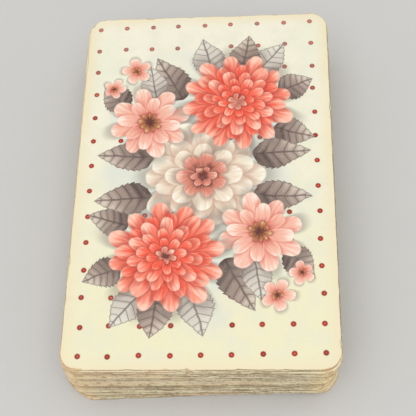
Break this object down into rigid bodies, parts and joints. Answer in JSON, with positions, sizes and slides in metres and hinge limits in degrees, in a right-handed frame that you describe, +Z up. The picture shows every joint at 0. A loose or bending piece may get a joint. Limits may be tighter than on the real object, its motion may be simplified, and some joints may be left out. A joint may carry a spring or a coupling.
{
  "type": "miniature playing card deck",
  "caption": "Squared-up pack of miniature playing cards with rounded corners, lying face down; each card slides out sideways.",
  "frame": {"origin": "centre of the bottom card's lower face, on the table", "axes": "+Z up through the pack, +Y along the cards' long side, +X along their short side"},
  "size_m": [0.0437, 0.0651, 0.0127],
  "materials": {
    "card_stock": "satin"
  },
  "bodies": {
    "second_joker": {"second_joker": "card_stock"},
    "first_joker": {"first_joker": "card_stock"},
    "king_of_spades": {"king_of_spades": "card_stock"},
    "queen_of_spades": {"queen_of_spades": "card_stock"},
    "jack_of_spades": {"jack_of_spades": "card_stock"},
    "ten_of_spades": {"ten_of_spades": "card_stock"},
    "nine_of_spades": {"nine_of_spades": "card_stock"},
    "eight_of_spades": {"eight_of_spades": "card_stock"},
    "seven_of_spades": {"seven_of_spades": "card_stock"},
    "six_of_spades": {"six_of_spades": "card_stock"},
    "five_of_spades": {"five_of_spades": "card_stock"},
    "four_of_spades": {"four_of_spades": "card_stock"},
    "three_of_spades": {"three_of_spades": "card_stock"},
    "two_of_spades": {"two_of_spades": "card_stock"},
    "ace_of_spades": {"ace_of_spades": "card_stock"},
    "king_of_hearts": {"king_of_hearts": "card_stock"},
    "queen_of_hearts": {"queen_of_hearts": "card_stock"},
    "jack_of_hearts": {"jack_of_hearts": "card_stock"},
    "ten_of_hearts": {"ten_of_hearts": "card_stock"},
    "nine_of_hearts": {"nine_of_hearts": "card_stock"},
    "eight_of_hearts": {"eight_of_hearts": "card_stock"},
    "seven_of_hearts": {"seven_of_hearts": "card_stock"},
    "six_of_hearts": {"six_of_hearts": "card_stock"},
    "five_of_hearts": {"five_of_hearts": "card_stock"},
    "four_of_hearts": {"four_of_hearts": "card_stock"},
    "three_of_hearts": {"three_of_hearts": "card_stock"},
    "two_of_hearts": {"two_of_hearts": "card_stock"},
    "ace_of_hearts": {"ace_of_hearts": "card_stock"},
    "king_of_diamonds": {"king_of_diamonds": "card_stock"},
    "queen_of_diamonds": {"queen_of_diamonds": "card_stock"},
    "jack_of_diamonds": {"jack_of_diamonds": "card_stock"},
    "ten_of_diamonds": {"ten_of_diamonds": "card_stock"},
    "nine_of_diamonds": {"nine_of_diamonds": "card_stock"},
    "eight_of_diamonds": {"eight_of_diamonds": "card_stock"},
    "seven_of_diamonds": {"seven_of_diamonds": "card_stock"},
    "six_of_diamonds": {"six_of_diamonds": "card_stock"},
    "five_of_diamonds": {"five_of_diamonds": "card_stock"},
    "four_of_diamonds": {"four_of_diamonds": "card_stock"},
    "three_of_diamonds": {"three_of_diamonds": "card_stock"},
    "two_of_diamonds": {"two_of_diamonds": "card_stock"},
    "ace_of_diamonds": {"ace_of_diamonds": "card_stock"},
    "king_of_clubs": {"king_of_clubs": "card_stock"},
    "queen_of_clubs": {"queen_of_clubs": "card_stock"},
    "jack_of_clubs": {"jack_of_clubs": "card_stock"},
    "ten_of_clubs": {"ten_of_clubs": "card_stock"},
    "nine_of_clubs": {"nine_of_clubs": "card_stock"},
    "eight_of_clubs": {"eight_of_clubs": "card_stock"},
    "seven_of_clubs": {"seven_of_clubs": "card_stock"},
    "six_of_clubs": {"six_of_clubs": "card_stock"},
    "five_of_clubs": {"five_of_clubs": "card_stock"},
    "four_of_clubs": {"four_of_clubs": "card_stock"},
    "three_of_clubs": {"three_of_clubs": "card_stock"},
    "two_of_clubs": {"two_of_clubs": "card_stock"},
    "ace_of_clubs": {"ace_of_clubs": "card_stock"}
  },
  "joints": [
    {"name": "ace_of_clubs_slide", "type": "slide", "parent": "second_joker", "child": "ace_of_clubs", "axis": [1, 0, 0], "range_m": [-0.045, 0.045]},
    {"name": "two_of_clubs_slide", "type": "slide", "parent": "second_joker", "child": "two_of_clubs", "axis": [1, 0, 0], "range_m": [-0.045, 0.045]},
    {"name": "three_of_clubs_slide", "type": "slide", "parent": "second_joker", "child": "three_of_clubs", "axis": [1, 0, 0], "range_m": [-0.045, 0.045]},
    {"name": "four_of_clubs_slide", "type": "slide", "parent": "second_joker", "child": "four_of_clubs", "axis": [1, 0, 0], "range_m": [-0.045, 0.045]},
    {"name": "five_of_clubs_slide", "type": "slide", "parent": "second_joker", "child": "five_of_clubs", "axis": [1, 0, 0], "range_m": [-0.045, 0.045]},
    {"name": "six_of_clubs_slide", "type": "slide", "parent": "second_joker", "child": "six_of_clubs", "axis": [1, 0, 0], "range_m": [-0.045, 0.045]},
    {"name": "seven_of_clubs_slide", "type": "slide", "parent": "second_joker", "child": "seven_of_clubs", "axis": [1, 0, 0], "range_m": [-0.045, 0.045]},
    {"name": "eight_of_clubs_slide", "type": "slide", "parent": "second_joker", "child": "eight_of_clubs", "axis": [1, 0, 0], "range_m": [-0.045, 0.045]},
    {"name": "nine_of_clubs_slide", "type": "slide", "parent": "second_joker", "child": "nine_of_clubs", "axis": [1, 0, 0], "range_m": [-0.045, 0.045]},
    {"name": "ten_of_clubs_slide", "type": "slide", "parent": "second_joker", "child": "ten_of_clubs", "axis": [1, 0, 0], "range_m": [-0.045, 0.045]},
    {"name": "jack_of_clubs_slide", "type": "slide", "parent": "second_joker", "child": "jack_of_clubs", "axis": [1, 0, 0], "range_m": [-0.045, 0.045]},
    {"name": "queen_of_clubs_slide", "type": "slide", "parent": "second_joker", "child": "queen_of_clubs", "axis": [1, 0, 0], "range_m": [-0.045, 0.045]},
    {"name": "king_of_clubs_slide", "type": "slide", "parent": "second_joker", "child": "king_of_clubs", "axis": [1, 0, 0], "range_m": [-0.045, 0.045]},
    {"name": "ace_of_diamonds_slide", "type": "slide", "parent": "second_joker", "child": "ace_of_diamonds", "axis": [1, 0, 0], "range_m": [-0.045, 0.045]},
    {"name": "two_of_diamonds_slide", "type": "slide", "parent": "second_joker", "child": "two_of_diamonds", "axis": [1, 0, 0], "range_m": [-0.045, 0.045]},
    {"name": "three_of_diamonds_slide", "type": "slide", "parent": "second_joker", "child": "three_of_diamonds", "axis": [1, 0, 0], "range_m": [-0.045, 0.045]},
    {"name": "four_of_diamonds_slide", "type": "slide", "parent": "second_joker", "child": "four_of_diamonds", "axis": [1, 0, 0], "range_m": [-0.045, 0.045]},
    {"name": "five_of_diamonds_slide", "type": "slide", "parent": "second_joker", "child": "five_of_diamonds", "axis": [1, 0, 0], "range_m": [-0.045, 0.045]},
    {"name": "six_of_diamonds_slide", "type": "slide", "parent": "second_joker", "child": "six_of_diamonds", "axis": [1, 0, 0], "range_m": [-0.045, 0.045]},
    {"name": "seven_of_diamonds_slide", "type": "slide", "parent": "second_joker", "child": "seven_of_diamonds", "axis": [1, 0, 0], "range_m": [-0.045, 0.045]},
    {"name": "eight_of_diamonds_slide", "type": "slide", "parent": "second_joker", "child": "eight_of_diamonds", "axis": [1, 0, 0], "range_m": [-0.045, 0.045]},
    {"name": "nine_of_diamonds_slide", "type": "slide", "parent": "second_joker", "child": "nine_of_diamonds", "axis": [1, 0, 0], "range_m": [-0.045, 0.045]},
    {"name": "ten_of_diamonds_slide", "type": "slide", "parent": "second_joker", "child": "ten_of_diamonds", "axis": [1, 0, 0], "range_m": [-0.045, 0.045]},
    {"name": "jack_of_diamonds_slide", "type": "slide", "parent": "second_joker", "child": "jack_of_diamonds", "axis": [1, 0, 0], "range_m": [-0.045, 0.045]},
    {"name": "queen_of_diamonds_slide", "type": "slide", "parent": "second_joker", "child": "queen_of_diamonds", "axis": [1, 0, 0], "range_m": [-0.045, 0.045]},
    {"name": "king_of_diamonds_slide", "type": "slide", "parent": "second_joker", "child": "king_of_diamonds", "axis": [1, 0, 0], "range_m": [-0.045, 0.045]},
    {"name": "ace_of_hearts_slide", "type": "slide", "parent": "second_joker", "child": "ace_of_hearts", "axis": [1, 0, 0], "range_m": [-0.045, 0.045]},
    {"name": "two_of_hearts_slide", "type": "slide", "parent": "second_joker", "child": "two_of_hearts", "axis": [1, 0, 0], "range_m": [-0.045, 0.045]},
    {"name": "three_of_hearts_slide", "type": "slide", "parent": "second_joker", "child": "three_of_hearts", "axis": [1, 0, 0], "range_m": [-0.045, 0.045]},
    {"name": "four_of_hearts_slide", "type": "slide", "parent": "second_joker", "child": "four_of_hearts", "axis": [1, 0, 0], "range_m": [-0.045, 0.045]},
    {"name": "five_of_hearts_slide", "type": "slide", "parent": "second_joker", "child": "five_of_hearts", "axis": [1, 0, 0], "range_m": [-0.045, 0.045]},
    {"name": "six_of_hearts_slide", "type": "slide", "parent": "second_joker", "child": "six_of_hearts", "axis": [1, 0, 0], "range_m": [-0.045, 0.045]},
    {"name": "seven_of_hearts_slide", "type": "slide", "parent": "second_joker", "child": "seven_of_hearts", "axis": [1, 0, 0], "range_m": [-0.045, 0.045]},
    {"name": "eight_of_hearts_slide", "type": "slide", "parent": "second_joker", "child": "eight_of_hearts", "axis": [1, 0, 0], "range_m": [-0.045, 0.045]},
    {"name": "nine_of_hearts_slide", "type": "slide", "parent": "second_joker", "child": "nine_of_hearts", "axis": [1, 0, 0], "range_m": [-0.045, 0.045]},
    {"name": "ten_of_hearts_slide", "type": "slide", "parent": "second_joker", "child": "ten_of_hearts", "axis": [1, 0, 0], "range_m": [-0.045, 0.045]},
    {"name": "jack_of_hearts_slide", "type": "slide", "parent": "second_joker", "child": "jack_of_hearts", "axis": [1, 0, 0], "range_m": [-0.045, 0.045]},
    {"name": "queen_of_hearts_slide", "type": "slide", "parent": "second_joker", "child": "queen_of_hearts", "axis": [1, 0, 0], "range_m": [-0.045, 0.045]},
    {"name": "king_of_hearts_slide", "type": "slide", "parent": "second_joker", "child": "king_of_hearts", "axis": [1, 0, 0], "range_m": [-0.045, 0.045]},
    {"name": "ace_of_spades_slide", "type": "slide", "parent": "second_joker", "child": "ace_of_spades", "axis": [1, 0, 0], "range_m": [-0.045, 0.045]},
    {"name": "two_of_spades_slide", "type": "slide", "parent": "second_joker", "child": "two_of_spades", "axis": [1, 0, 0], "range_m": [-0.045, 0.045]},
    {"name": "three_of_spades_slide", "type": "slide", "parent": "second_joker", "child": "three_of_spades", "axis": [1, 0, 0], "range_m": [-0.045, 0.045]},
    {"name": "four_of_spades_slide", "type": "slide", "parent": "second_joker", "child": "four_of_spades", "axis": [1, 0, 0], "range_m": [-0.045, 0.045]},
    {"name": "five_of_spades_slide", "type": "slide", "parent": "second_joker", "child": "five_of_spades", "axis": [1, 0, 0], "range_m": [-0.045, 0.045]},
    {"name": "six_of_spades_slide", "type": "slide", "parent": "second_joker", "child": "six_of_spades", "axis": [1, 0, 0], "range_m": [-0.045, 0.045]},
    {"name": "seven_of_spades_slide", "type": "slide", "parent": "second_joker", "child": "seven_of_spades", "axis": [1, 0, 0], "range_m": [-0.045, 0.045]},
    {"name": "eight_of_spades_slide", "type": "slide", "parent": "second_joker", "child": "eight_of_spades", "axis": [1, 0, 0], "range_m": [-0.045, 0.045]},
    {"name": "nine_of_spades_slide", "type": "slide", "parent": "second_joker", "child": "nine_of_spades", "axis": [1, 0, 0], "range_m": [-0.045, 0.045]},
    {"name": "ten_of_spades_slide", "type": "slide", "parent": "second_joker", "child": "ten_of_spades", "axis": [1, 0, 0], "range_m": [-0.045, 0.045]},
    {"name": "jack_of_spades_slide", "type": "slide", "parent": "second_joker", "child": "jack_of_spades", "axis": [1, 0, 0], "range_m": [-0.045, 0.045]},
    {"name": "queen_of_spades_slide", "type": "slide", "parent": "second_joker", "child": "queen_of_spades", "axis": [1, 0, 0], "range_m": [-0.045, 0.045]},
    {"name": "king_of_spades_slide", "type": "slide", "parent": "second_joker", "child": "king_of_spades", "axis": [1, 0, 0], "range_m": [-0.045, 0.045]},
    {"name": "first_joker_slide", "type": "slide", "parent": "second_joker", "child": "first_joker", "axis": [1, 0, 0], "range_m": [-0.045, 0.045]}
  ]
}
